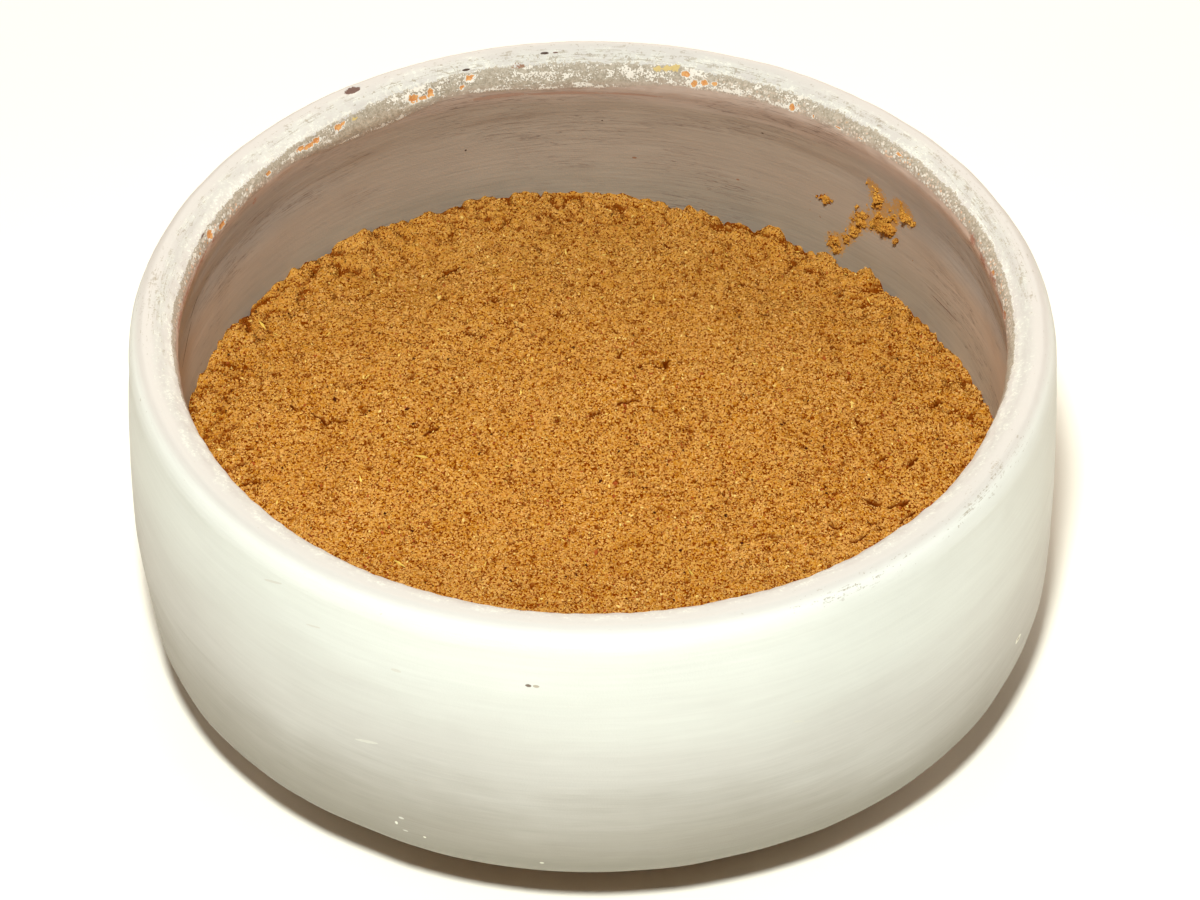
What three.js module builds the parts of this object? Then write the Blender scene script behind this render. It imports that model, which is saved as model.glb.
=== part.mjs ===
// A small hand-thrown clay bowl, painted white outside and taupe inside, part filled with
// ras el hanout, a ground spice blend. Two pieces: the bowl, and the heap of spice lying in it.
//
// Millimetres, +Z up. The origin is the middle of the flat foot and the bowl stands on z = 0.
// The spice lies higher on the -X side than on the +X side.
import * as THREE from "three";

// --- Bowl: driving dimensions ------------------------------------------------------------------
const HEIGHT = 41; // foot to the top of the rim
const BELLY_RADIUS = 50; // widest radius, low on the wall
const BELLY_HEIGHT = 12; // height of the widest radius, where the round lower edge ends
const FOOT_RADIUS = 31; // flat underside
const SHOULDER_RADIUS = 48.8; // outer wall, where the rim starts to round over
const RIM_ROUNDING = 3.4; // height of the rounded rim above the shoulder
const CROWN_RADIUS = 46.9; // ring of the rim's highest points
const LIP_RADIUS = 43.7; // the rim's inner edge, which hangs in over the cavity wall
const LIP_DROP = 3; // how far the lip's edge lies below the crown
const LIP_UNDERCUT = 5.5; // height over which the wall leans back under the lip
const CAVITY_RADIUS = 44.6; // inner wall
const CAVITY_BULGE = 0.25; // the inner wall swells by this much half way up
const FLOOR_HEIGHT = 6; // thickness of the bottom
const CORNER_WIDTH = 13; // rounding between the floor and the inner wall, across
const CORNER_HEIGHT = 11; // and upwards

// --- Bowl: the unevenness of hand work ---------------------------------------------------------
const LIP_SAG = 1.4; // the lip's edge sags this much along one stretch of the rim
const LIP_SAG_BACK = 0.4; // and draws back this much there
const LIP_SAG_TURN = 82; // degrees from +X to the middle of that stretch
const LIP_SAG_SPREAD = 27; // half of its width, in degrees
const OUT_OF_ROUND = 0.15; // the walls are slightly oval
const OUT_OF_ROUND_TURN = 120; // degrees from +X to the longer axis
const RIM_WAVE = 0.15; // the rim's top is tilted by this much
const RIM_WAVE_TURN = 100; // degrees from +X to its highest point

// --- Spice: driving dimensions -----------------------------------------------------------------
const GAP = 0.3; // clearance between the spice and the bowl
const HEAP_LEVEL = 20.9; // mean height of the heap where it meets the wall
const HEAP_TILT = 1.4; // the heap rises this much from the middle to the -X wall
const HEAP_DOME = 0.8; // and this much from the wall to the middle
const RIPPLE = 0.2; // height of the broad waves left by pouring and shaking
const RIPPLE_LENGTH = 19; // distance between two of those waves
const CLODS = 110; // soft clods of spice, spread evenly over the surface
const CLOD_RADIUS = 2.9; // size of a clod
const CLOD_HEIGHT = 0.45; // how far the tallest of them stands up

// Where the heap departs from that even shape: x, y, radius and height of each mound or hollow.
const MOUNDS = [
  [-6, 42, 9, 0.9], // crest against the far wall
  [-34, 25, 11, 0.4], // shoulder along the high side
  [28, 34, 15, -1.1], // slumped stretch beside the crest
  [21, 39, 3, 1.0], // crumbs pressed together along the slumped edge
  [32, 30.5, 2.8, 1.3],
  [25, 32, 3.2, 0.7],
  [34, 21, 3.2, 0.7],
  [-13, 23, 4.4, 0.8], // soft lumps on the open surface
  [-30, 9, 4.8, 0.8],
  [3, 9, 4.4, 0.6],
  [7, 16, 4.8, 0.6],
  [6, -14, 5.2, 0.5],
  [-15, -26, 8, 0.5],
  [14, 2, 8, 0.4],
  [20, -30, 7, 0.4],
  [-23, 28, 5, -0.6], // shallow hollows
  [-4, 30, 6, -0.5],
  [6, -19, 3.8, -0.8],
  [29, -11, 7, -0.9],
  [-24, -13, 7, -0.4],
];

// --- Facets ------------------------------------------------------------------------------------
const TURNS = 80; // facets round the bowl and the heap
const EDGE_STEPS = 8; // facets along the round lower edge
const RIM_STEPS = 5; // facets along each side of the rim
const CORNER_STEPS = 6; // facets along the rounding inside
const WALL_STEPS = 3; // facets up each wall
const HEAP_RINGS = 20; // rings across the top of the heap

const radians = THREE.MathUtils.degToRad;

// Points of a quarter ellipse, starting at a number of degrees from the outward radius.
function quarter(centreR, centreZ, semiR, semiZ, from, steps) {
  return Array.from({ length: steps + 1 }, (_, i) => {
    const angle = radians(from + (90 * i) / steps);
    return new THREE.Vector2(centreR + semiR * Math.cos(angle), centreZ + semiZ * Math.sin(angle));
  });
}

// Points of a wall from z = from to z = to, both ends left out, with its radius given by a function.
function wall(from, to, radiusAt) {
  return Array.from({ length: WALL_STEPS - 1 }, (_, i) => {
    const share = (i + 1) / WALL_STEPS;
    return new THREE.Vector2(radiusAt(share), from + (to - from) * share);
  });
}

const shoulderHeight = HEIGHT - RIM_ROUNDING;
const cornerTop = FLOOR_HEIGHT + CORNER_HEIGHT;
const lipHeight = HEIGHT - LIP_DROP;
const undercutFoot = lipHeight - LIP_UNDERCUT;
const cavityBulge = (share) => CAVITY_BULGE * Math.sin(Math.PI * share);

// The cavity from its floor up to a height, drawn in by a clearance.
function cavityOutline(top, clearance) {
  const radiusAt = (share) => {
    const z = cornerTop + (top - cornerTop) * share;
    return CAVITY_RADIUS - clearance + cavityBulge((z - cornerTop) / (undercutFoot - cornerTop));
  };
  return [
    new THREE.Vector2(0, FLOOR_HEIGHT + clearance),
    ...quarter(CAVITY_RADIUS - CORNER_WIDTH, cornerTop,
      CORNER_WIDTH - clearance, CORNER_HEIGHT - clearance, -90, CORNER_STEPS),
    ...wall(cornerTop, top, radiusAt),
    new THREE.Vector2(radiusAt(1), top),
  ];
}

// The bowl's section: foot, round lower edge, leaning outer wall, rounded rim, lip and cavity.
function bowlOutline() {
  const lean = (share) => BELLY_RADIUS - (BELLY_RADIUS - SHOULDER_RADIUS) * share ** 2;
  return [
    new THREE.Vector2(0, 0),
    ...quarter(FOOT_RADIUS, BELLY_HEIGHT,
      BELLY_RADIUS - FOOT_RADIUS, BELLY_HEIGHT, -90, EDGE_STEPS),
    ...wall(BELLY_HEIGHT, shoulderHeight, lean),
    ...quarter(CROWN_RADIUS, shoulderHeight,
      SHOULDER_RADIUS - CROWN_RADIUS, RIM_ROUNDING, 0, RIM_STEPS),
    ...quarter(CROWN_RADIUS, lipHeight,
      CROWN_RADIUS - LIP_RADIUS, LIP_DROP, 90, RIM_STEPS).slice(1),
    ...cavityOutline(undercutFoot, 0).reverse(),
  ];
}

// Moves a point of the walls the way hand work left them. The heap follows the cavity's wall.
function handMade(point) {
  const turn = Math.atan2(point.y, point.x);
  const radius = Math.hypot(point.x, point.y);
  const high = THREE.MathUtils.clamp((point.z - undercutFoot) / LIP_UNDERCUT, 0, 1);
  const inward = THREE.MathUtils.clamp((CROWN_RADIUS - radius) / (CROWN_RADIUS - LIP_RADIUS), 0, 1);
  const fromSag = THREE.MathUtils.euclideanModulo(turn - radians(LIP_SAG_TURN) + Math.PI, 2 * Math.PI);
  const sag = high * inward * Math.exp(-(((fromSag - Math.PI) / radians(LIP_SAG_SPREAD)) ** 2));
  point.z += RIM_WAVE * Math.cos(turn - radians(RIM_WAVE_TURN)) * high - LIP_SAG * sag;
  const oval = OUT_OF_ROUND * Math.cos(2 * (turn - radians(OUT_OF_ROUND_TURN)));
  const scale = 1 + oval / BELLY_RADIUS + (LIP_SAG_BACK * sag) / CROWN_RADIUS;
  point.x *= scale;
  point.y *= scale;
}

// The clods, in the form of MOUNDS: a golden-angle spiral that fills the cavity evenly. Their
// sizes and heights step through the fractional parts of an irrational number, so none repeats.
const clods = Array.from({ length: CLODS }, (_, k) => {
  const turn = k * Math.PI * (3 - Math.sqrt(5));
  const reach = CAVITY_RADIUS * Math.sqrt((k + 0.5) / CLODS);
  const vigour = (k * Math.SQRT2) % 1;
  const radius = CLOD_RADIUS * (0.8 + 0.5 * ((k * Math.E) % 1));
  return [reach * Math.cos(turn), reach * Math.sin(turn), radius, CLOD_HEIGHT * (vigour - 0.3)];
});

// Height of the spice's surface: an even tilt and dome, broad waves, mounds, hollows and clods.
function heapHeight(x, y) {
  const share = Math.hypot(x, y) / CAVITY_RADIUS;
  const wave = (2 * Math.PI) / RIPPLE_LENGTH;
  let z = HEAP_LEVEL - (HEAP_TILT * x) / CAVITY_RADIUS + HEAP_DOME * (1 - share ** 2);
  z += RIPPLE * (Math.sin(wave * (x + 0.4 * y)) + Math.sin(wave * (0.8 * y - 0.5 * x)));
  for (const [centreX, centreY, radius, height] of [...MOUNDS, ...clods])
    z += height * Math.exp(-((x - centreX) ** 2 + (y - centreY) ** 2) / radius ** 2);
  return z;
}

// Turns a section round the Z axis and applies a change to each of its points.
function turned(outline, change) {
  const geometry = new THREE.LatheGeometry(outline, TURNS).rotateX(Math.PI / 2);
  const position = geometry.getAttribute("position");
  const point = new THREE.Vector3();
  for (let i = 0; i < position.count; i++) {
    change(point.fromBufferAttribute(position, i));
    position.setXYZ(i, point.x, point.y, point.z);
  }
  geometry.computeVertexNormals();
  return geometry;
}

function bowl() {
  const material = new THREE.MeshStandardMaterial({ color: 0xf1efe4, roughness: 0.6, metalness: 0 });
  const mesh = new THREE.Mesh(turned(bowlOutline(), handMade), material);
  mesh.name = "bowl";
  return mesh;
}

// The heap fills the cavity up to its own surface. Its outline is drawn with a level top, and
// then the wall is stretched, and the top lifted, to the height of the surface above each point.
function spiceHeap() {
  const sides = cavityOutline(HEAP_LEVEL, GAP);
  const edge = sides[sides.length - 1].x;
  const top = Array.from(
    { length: HEAP_RINGS },
    (_, i) => new THREE.Vector2(edge * (1 - (i + 1) / HEAP_RINGS), HEAP_LEVEL),
  );
  const rise = (point) => {
    const share = Math.max(0, (point.z - cornerTop) / (HEAP_LEVEL - cornerTop));
    point.z += (heapHeight(point.x, point.y) - HEAP_LEVEL) * share;
    handMade(point);
  };
  const material = new THREE.MeshStandardMaterial({ color: 0xc18135, roughness: 0.95, metalness: 0 });
  const mesh = new THREE.Mesh(turned([...sides, ...top], rise), material);
  mesh.name = "ras_el_hanout";
  return mesh;
}

const bowlOfSpice = new THREE.Group();
bowlOfSpice.add(bowl(), spiceHeap());
export default bowlOfSpice;
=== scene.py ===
# %% [markdown]
# # A bowl of ras el hanout
# The object is a small clay bowl, thrown by hand, brushed with chalky white paint outside and
# taupe paint inside, and part filled with ras el hanout, a finely ground blend of spices.
# The exact model gives the bowl and the heap of spice as plain solids. This lesson dresses both:
# the bowl gets its hand-made unevenness, its paint and its worn rim, and the heap becomes a
# crumbly surface with tens of thousands of real grains lying on it.

import bpy
import numpy as np
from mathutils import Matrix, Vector


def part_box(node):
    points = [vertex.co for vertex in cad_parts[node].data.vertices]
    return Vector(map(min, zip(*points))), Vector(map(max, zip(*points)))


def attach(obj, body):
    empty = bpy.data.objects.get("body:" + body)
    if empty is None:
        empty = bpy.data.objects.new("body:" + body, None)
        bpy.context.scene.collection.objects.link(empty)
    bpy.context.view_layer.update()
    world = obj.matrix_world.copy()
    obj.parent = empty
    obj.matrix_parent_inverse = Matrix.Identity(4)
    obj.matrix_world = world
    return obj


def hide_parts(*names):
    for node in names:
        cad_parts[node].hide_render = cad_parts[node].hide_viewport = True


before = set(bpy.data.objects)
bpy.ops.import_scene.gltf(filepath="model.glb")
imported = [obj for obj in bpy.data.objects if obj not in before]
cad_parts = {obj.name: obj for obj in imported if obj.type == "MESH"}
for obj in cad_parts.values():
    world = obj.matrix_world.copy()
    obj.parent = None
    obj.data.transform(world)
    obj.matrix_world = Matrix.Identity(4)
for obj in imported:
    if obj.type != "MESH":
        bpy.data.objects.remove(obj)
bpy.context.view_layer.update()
bowl_low, bowl_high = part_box("bowl")
heap_low, heap_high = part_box("ras_el_hanout")
print("bowl", [round(side * 1000, 1) for side in bowl_high - bowl_low], "mm")
print("heap", [round(side * 1000, 1) for side in heap_high - heap_low], "mm")

# %% [markdown]
# ## Camera, light and floor
# A table-top view of a small thing: a long lens from less than half a metre away, looking down
# by a bit more than forty degrees. One small soft lamp above the camera lights the inside of the
# bowl and leaves a narrow shadow under its round edge. Three wide, dim and warmer ones stand in
# for a window and the pale walls of a room, and a very faint sky fills what is left. A pale floor
# throws light back up at the bowl.

# %% Units and the camera
MM = 0.001  # lengths below are in millimetres, as in the exact model
SENSOR_WIDTH = 36
LENS = 112
CAMERA_PLACE = (0, -301.3, 292.6)
CAMERA_AIM = (0.8, 0, 20.9)


def aimed(data, place, aim):
    """Links a camera or lamp at `place`, turned so that its -Z axis points at `aim`."""
    thing = bpy.data.objects.new(data.name, data)
    bpy.context.scene.collection.objects.link(thing)
    thing.location = Vector(place) * MM
    thing.rotation_euler = (Vector(aim) - Vector(place)).to_track_quat("-Z", "Y").to_euler()
    return thing


lens = bpy.data.cameras.new("camera")
lens.sensor_width = SENSOR_WIDTH
lens.lens = LENS
lens.clip_start = 10 * MM
bpy.context.scene.camera = aimed(lens, CAMERA_PLACE, CAMERA_AIM)
distance = (Vector(CAMERA_AIM) - Vector(CAMERA_PLACE)).length
print(f"camera {distance:.0f} mm away, {SENSOR_WIDTH / LENS * distance:.0f} mm seen across")

# %% The lamps and the sky
LAMPS = {  # place, width, watts, colour
    "lamp": ((-18, -230, 400), 46, 2.45, (1.0, 1.01, 0.97)),
    "window": ((0, 420, 300), 420, 1.6, (1.0, 0.86, 0.76)),
    "left_wall": ((-380, 200, 170), 260, 0.42, (1.0, 0.79, 0.67)),
    "right_wall": ((380, 200, 170), 260, 0.58, (1.0, 0.79, 0.67)),
}
SKY_COLOUR = (1.0, 0.9, 0.8, 1)
LAMP_AIM = (0, 0, 20)
SKY_STRENGTH = 0.035

for name, (place, width, watts, colour) in LAMPS.items():
    softbox = bpy.data.lights.new(name, "AREA")
    softbox.shape = "DISK"
    softbox.size = width * MM
    softbox.energy = watts
    softbox.color = colour
    aimed(softbox, place, LAMP_AIM)

sky = bpy.data.worlds.new("sky")
sky.use_nodes = True
sky.node_tree.nodes["Background"].inputs["Color"].default_value = SKY_COLOUR
sky.node_tree.nodes["Background"].inputs["Strength"].default_value = SKY_STRENGTH
bpy.context.scene.world = sky
bpy.context.scene.view_settings.view_transform = "Standard"
print(len(LAMPS), "lamps, sky", SKY_STRENGTH)

# %% [markdown]
# ## Tools for shapes
# Every surface here is a grid of points worked out by numpy in one go, so a helper joins a grid
# into triangles and another puts the arrays into a mesh. Named fields go with the points:
# numbers such as how deep a point lies in the paint, which the materials read back.


# %% Nets of triangles, and arrays into a mesh
def net(index, closed=False):
    """Triangles over a grid of point numbers: each cell is cut along its diagonal. A closed net
    also joins the last column to the first. With columns running anticlockwise and rows
    running up a wall, the faces point outwards."""
    left = index if closed else index[:, :-1]
    right = np.roll(index, -1, axis=1) if closed else index[:, 1:]
    low_left, low_right, high_right, high_left = left[:-1], right[:-1], right[1:], left[1:]
    lower = np.stack([low_left, low_right, high_right], axis=-1)
    upper = np.stack([low_left, high_right, high_left], axis=-1)
    return np.concatenate([lower.reshape(-1, 3), upper.reshape(-1, 3)])


def fan(ring, centre):
    """Triangles from each side of a closed ring of point numbers to one centre point. The faces
    point up if the ring runs anticlockwise as seen from above."""
    return np.stack([ring, np.roll(ring, -1), np.full(len(ring), centre)], axis=-1)


def border(index):
    """The outer ring of a grid of point numbers, in order."""
    return np.concatenate([index[0, :-1], index[:-1, -1], index[-1, :0:-1], index[:0:-1, 0]])


def make_piece(name, points, triangles, finish, slot, smooth=True, **fields):
    """A mesh from whole arrays: points in millimetres, triangles as rows of point numbers, and
    one number a point for each named field. The object stays at the origin."""
    mesh = bpy.data.meshes.new(name)
    mesh.vertices.add(len(points))
    mesh.vertices.foreach_set("co", (points * MM).astype(np.float32).ravel())
    mesh.loops.add(triangles.size)
    mesh.loops.foreach_set("vertex_index", triangles.astype(np.int32).ravel())
    mesh.polygons.add(len(triangles))
    mesh.polygons.foreach_set("loop_start", np.arange(0, triangles.size, 3, dtype=np.int32))
    mesh.polygons.foreach_set("use_smooth", np.full(len(triangles), smooth))
    for field, values in fields.items():
        attribute = mesh.attributes.new(field, "FLOAT", "POINT")
        attribute.data.foreach_set("value", values.astype(np.float32).ravel())
    mesh.update(calc_edges=True)
    mesh.validate()
    mesh.materials.append(finish)
    piece = bpy.data.objects.new(name, mesh)
    bpy.context.scene.collection.objects.link(piece)
    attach(piece, "root")
    print(f"{name}: {len(triangles)} triangles")
    return piece


# %% [markdown]
# Clay, brushed paint and spice are all uneven in a smooth, random way. Gradient noise gives
# that: a grid of random slopes, blended. It is the same recipe as Blender's Noise Texture, but
# worked out here, so that it can move points and place grains as well as colour them.

# %% Smooth random unevenness
SEED = 21
SLOPES = np.random.default_rng(SEED).normal(size=(1 << 16, 3))
SLOPES /= np.linalg.norm(SLOPES, axis=1, keepdims=True)
STRIDES = np.array([1, 1619, 31337])


def noise(points, size, layer=0):
    """Unevenness from about -1 to 1 at each row of `points`. Space is cut into cells `size` wide
    and each corner of a cell is given a random slope. A point takes the heights of the slopes
    round it, weighted by its nearness to each corner on an S-curve. `layer` picks a pattern."""
    cell = points / size + 0.37 * layer
    base = np.floor(cell).astype(np.int64)
    share = cell - base
    curve = share * share * share * (share * (6 * share - 15) + 10)
    total = np.zeros(len(points))
    axes = points.shape[1]
    for corner in np.ndindex(*(2,) * axes):
        weight = np.prod(np.where(corner, curve, 1 - curve), axis=1)
        spot = ((base + corner) @ STRIDES[:axes] + 7919 * layer) % len(SLOPES)
        total += weight * np.sum(SLOPES[spot, :axes] * (share - corner), axis=1)
    return total * 1.7


def smooth_step(value, low, high):
    """0 below `low`, 1 above `high`, and an S-curve between them."""
    share = np.clip((value - low) / (high - low), 0, 1)
    return share * share * (3 - 2 * share)


test = noise(np.random.default_rng(1).uniform(0, 99, (9999, 2)), 3)
print(f"noise runs from {test.min():.2f} to {test.max():.2f}, spread {test.std():.2f}")

# %% [markdown]
# ## Tools for finishes
# A finish is a material whose colour, roughness and bump are worked out from where a point
# lies. Wires between nodes are easier to read as sums, so a small class wraps a node's output:
# adding two of them adds a Math node, and `1 - mask` works as it does with numbers.


# %% Sums of node outputs
class Wire:
    """A number, vector or colour on its way from one node to another."""

    def __init__(self, finish, socket):
        self.finish = finish
        self.socket = socket

    def math(self, operation, *terms):
        """A Math node fed with these numbers and wires, in order."""
        return self.finish.node("ShaderNodeMath", {"operation": operation}, dict(enumerate(terms)))

    def __add__(self, other):
        return self.math("ADD", self, other)

    def __sub__(self, other):
        return self.math("SUBTRACT", self, other)

    def __rsub__(self, other):
        return self.math("SUBTRACT", other, self)

    def __mul__(self, other):
        return self.math("MULTIPLY", self, other)

    __radd__ = __add__
    __rmul__ = __mul__

    def __abs__(self):
        return self.math("ABSOLUTE", self)


# %% A finish and the steps that build it
class Finish:
    """A material in the making. Keyword values are set on the shader's own sockets, with an
    underscore for each space in a socket's name."""

    def __init__(self, name, **constants):
        self.material = bpy.data.materials.new(name)
        self.material.use_nodes = True
        self.tree = self.material.node_tree
        self.shader = self.tree.nodes["Principled BSDF"]
        for socket, value in constants.items():
            self.shader.inputs[socket.replace("_", " ")].default_value = value
        metres = self.node("ShaderNodeTexCoord", {}, {}, "Object")
        self.place = self.vector("SCALE", metres, Scale=1 / MM)

    def node(self, kind, settings, inputs, output=0):
        """Adds a node, makes its settings, fills its sockets with values or wires, and returns
        one of its outputs."""
        node = self.tree.nodes.new(kind)
        for name, value in settings.items():
            setattr(node, name, value)
        for name, value in inputs.items():
            if isinstance(value, Wire):
                self.tree.links.new(value.socket, node.inputs[name])
            else:
                node.inputs[name].default_value = value
        return Wire(self, node.outputs[output])

    def vector(self, operation, *terms, **named):
        """A Vector Math node: its first sockets filled in order, and others by name."""
        inputs = {**dict(enumerate(terms)), **named}
        return self.node("ShaderNodeVectorMath", {"operation": operation}, inputs)

    def axis(self, name):
        """How far a point lies along X, Y or Z, in millimetres."""
        return self.node("ShaderNodeSeparateXYZ", {}, {0: self.place}, name)

    def field(self, name):
        """A number that the mesh carries at each point."""
        return self.node("ShaderNodeAttribute", {"attribute_name": name}, {}, "Fac")

    def noise(self, size, place=None, detail=2, stretch=(1, 1, 1)):
        """Noise from 0 to 1 with patches `size` millimetres across, longer along the axes
        where `stretch` is more than 1."""
        scaled = self.vector("DIVIDE", place or self.place, stretch)
        sockets = {"Vector": scaled, "Scale": 1 / size, "Detail": detail, "Roughness": 0.55}
        return self.node("ShaderNodeTexNoise", {}, sockets, "Fac")

    def shaken(self, size, amount):
        """The place pushed about by a noise of its own along each axis, by up to `amount`."""
        sockets = {"Vector": self.place, "Scale": 1 / size, "Detail": 1}
        push = self.node("ShaderNodeTexNoise", {}, sockets, "Color")
        return self.vector("ADD", self.place, self.vector("SCALE", push, Scale=amount))

    def cells(self, size, place):
        """Space cut into grains `size` millimetres across: how far a point is from the middle
        of its grain, in sizes, and a number from 0 to 1 that is the grain's own."""
        sockets = {"Vector": place, "Scale": 1 / size}
        grain = self.node("ShaderNodeTexVoronoi", {}, sockets, "Distance")
        own = self.node("ShaderNodeTexVoronoi", {}, sockets, "Color")
        return grain, self.node("ShaderNodeSeparateXYZ", {}, {0: own}, "X")

    def step(self, value, low, high):
        """0 where the value is below `low`, 1 above `high`, an S-curve between. With the two
        swapped it falls instead of rising."""
        settings = {"interpolation_type": "SMOOTHSTEP"}
        if low < high:
            return self.node("ShaderNodeMapRange", settings, {0: value, 1: low, 2: high})
        sockets = {0: value, 1: high, 2: low, 3: 1.0, 4: 0.0}
        return self.node("ShaderNodeMapRange", settings, sockets)

    def blend(self, mask, under, over):
        """The colour `over` laid on the colour `under` where the mask is 1."""
        return self.node("ShaderNodeMix", {"data_type": "RGBA"}, {0: mask, 6: under, 7: over}, 2)

    def lay(self, under, over, value, low, high, most=1):
        """The colour `over` laid on `under` where `step` is 1, and with at most a share `most`."""
        mask = self.step(value, low, high)
        return self.blend(mask if most == 1 else mask * most, under, over)

    def shade(self, colour, amount):
        """A colour made darker or lighter: 1 leaves it, less darkens it, more lightens it."""
        return self.vector("SCALE", colour, Scale=amount)

    def apply(self, colour, roughness=None, height=None, strength=1.0):
        """Wires the colour, roughness and bump into the shader. The height is in millimetres."""
        self.tree.links.new(colour.socket, self.shader.inputs["Base Color"])
        if roughness is not None:
            self.tree.links.new(roughness.socket, self.shader.inputs["Roughness"])
        if height is not None:
            sockets = {"Height": height, "Distance": MM, "Strength": strength}
            normal = self.node("ShaderNodeBump", {}, sockets, "Normal")
            self.tree.links.new(normal.socket, self.shader.inputs["Normal"])
        return self.material


# %% Colours
def srgb(red, green, blue):
    """A colour as read off a screen, 0 to 255, in the linear light that shaders count in."""
    share = np.array([red, green, blue]) / 255
    linear = np.where(share < 0.04045, share / 12.92, ((share + 0.055) / 1.055) ** 2.4)
    return (*linear.tolist(), 1.0)


print("mid grey is", round(srgb(128, 128, 128)[0], 3))

# %% [markdown]
# ## The floor
# A plain pale table top, far larger than the view. It is not part of the object. A faint tint
# keeps it from looking like empty paper.

# %% The floor
FLOOR_SIZE = 3000
TABLE_DULL = srgb(242, 242, 231)
TABLE_PALE = srgb(246, 246, 235)


def floor_finish():
    """Two pale tones that drift into each other, with hardly any gloss."""
    finish = Finish("pale_table", Roughness=0.9, Specular_IOR_Level=0.15)
    return finish.apply(finish.blend(finish.noise(60, detail=3), TABLE_DULL, TABLE_PALE))


corners = np.array([[-1, -1, 0], [1, -1, 0], [1, 1, 0], [-1, 1, 0]]) * FLOOR_SIZE / 2
floor_mesh = bpy.data.meshes.new("floor")
floor_mesh.from_pydata((corners * MM).tolist(), [], [(0, 1, 2, 3)])
floor_mesh.materials.append(floor_finish())
floor = bpy.data.objects.new("floor", floor_mesh)
bpy.context.scene.collection.objects.link(floor)
print(f"floor {FLOOR_SIZE * MM:.0f} m wide")

# %% [markdown]
# ## The shape of the bowl
# A thrown bowl is a section turned round an axis, and then pushed a little out of true by
# hands and by drying. So the section is drawn first as arcs and nearly straight walls, with
# points close together where the rim is tightly curved. The same push that the exact model
# uses is applied next, and last a finer unevenness that only shows close by.

# %% The sizes of the section
HEIGHT = 41
BELLY_RADIUS = 50
BELLY_HEIGHT = 12
FOOT_RADIUS = 31
SHOULDER_RADIUS = 48.8
RIM_ROUNDING = 3.4
CROWN_RADIUS = 46.9
LIP_RADIUS = 43.7
LIP_DROP = 3
LIP_UNDERCUT = 5.5
CAVITY_RADIUS = 44.6
CAVITY_BULGE = 0.25
FLOOR_HEIGHT = 6
CORNER_WIDTH = 13
CORNER_HEIGHT = 11
LIP_POINTS = 22

SHOULDER = HEIGHT - RIM_ROUNDING
LIP_HEIGHT = HEIGHT - LIP_DROP
UNDERCUT_FOOT = LIP_HEIGHT - LIP_UNDERCUT
CORNER_TOP = FLOOR_HEIGHT + CORNER_HEIGHT
print(f"the lip is {CROWN_RADIUS - LIP_RADIUS:.1f} mm in from the crown, {LIP_DROP} mm below it")


# %% Arcs and walls, joined into one line of points
def quarter(centre, half_axes, start, count):
    """`count` points along a quarter of an ellipse, starting `start` degrees from outwards:
    centre + (half width times cosine, half height times sine). The first point is left out."""
    angle = np.radians(start + 90 * np.arange(1, count + 1) / count)
    return np.array(centre) + np.array(half_axes) * np.column_stack([np.cos(angle), np.sin(angle)])


def wall(start, end, count, bow=lambda share: 0 * share):
    """`count` points from `start` to `end` (radius, height), moved outwards by bow(share of the
    way). The first point is left out."""
    share = np.arange(1, count + 1) / count
    line = np.array(start) + share[:, None] * (np.array(end) - np.array(start))
    line[:, 0] += bow(share)
    return line


# %% The section, from the middle of the foot, over the rim, to the middle of the floor inside
belly = (BELLY_RADIUS, BELLY_HEIGHT)
shoulder = (SHOULDER_RADIUS, SHOULDER)
undercut_foot = (CAVITY_RADIUS, UNDERCUT_FOOT)
corner_top = (CAVITY_RADIUS, CORNER_TOP)
lean = BELLY_RADIUS - SHOULDER_RADIUS
outside = np.concatenate([
    wall((0, 0), (FOOT_RADIUS, 0), 5),
    quarter((FOOT_RADIUS, BELLY_HEIGHT), (BELLY_RADIUS - FOOT_RADIUS, BELLY_HEIGHT), -90, 16),
    wall(belly, shoulder, 20, lambda share: lean * (share - share**2)),
    quarter((CROWN_RADIUS, SHOULDER), (SHOULDER_RADIUS - CROWN_RADIUS, RIM_ROUNDING), 0, 13),
])
inside = np.concatenate([
    quarter((CROWN_RADIUS, LIP_HEIGHT), (CROWN_RADIUS - LIP_RADIUS, LIP_DROP), 90, LIP_POINTS),
    wall((LIP_RADIUS, LIP_HEIGHT), undercut_foot, 12),
    wall(undercut_foot, corner_top, 13, lambda share: CAVITY_BULGE * np.sin(np.pi * share)),
    quarter((CAVITY_RADIUS - CORNER_WIDTH, CORNER_TOP), (CORNER_WIDTH, -CORNER_HEIGHT), 0, 6),
    wall((CAVITY_RADIUS - CORNER_WIDTH, FLOOR_HEIGHT), (0, FLOOR_HEIGHT), 3)[:-1],
])
section = np.concatenate([outside, inside])
steps = np.linalg.norm(np.diff(section, axis=0, prepend=section[:1]), axis=1)
over_rim = np.cumsum(steps) - np.cumsum(steps)[len(outside) - 1]
print(f"{len(section)} rings, the lip {over_rim[len(outside) + LIP_POINTS - 1]:.1f} mm over the crown")

# %% [markdown]
# `over_rim` is the distance along the section from the top of the crown: negative outside,
# positive inside. It is the most useful number on the bowl, because brushes, fingers and wear
# all follow the rim. The worn places are listed as azimuth, distance over the rim and half
# sizes, and a formula turns a list into one smooth field, which is above zero inside a chip.

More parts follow.
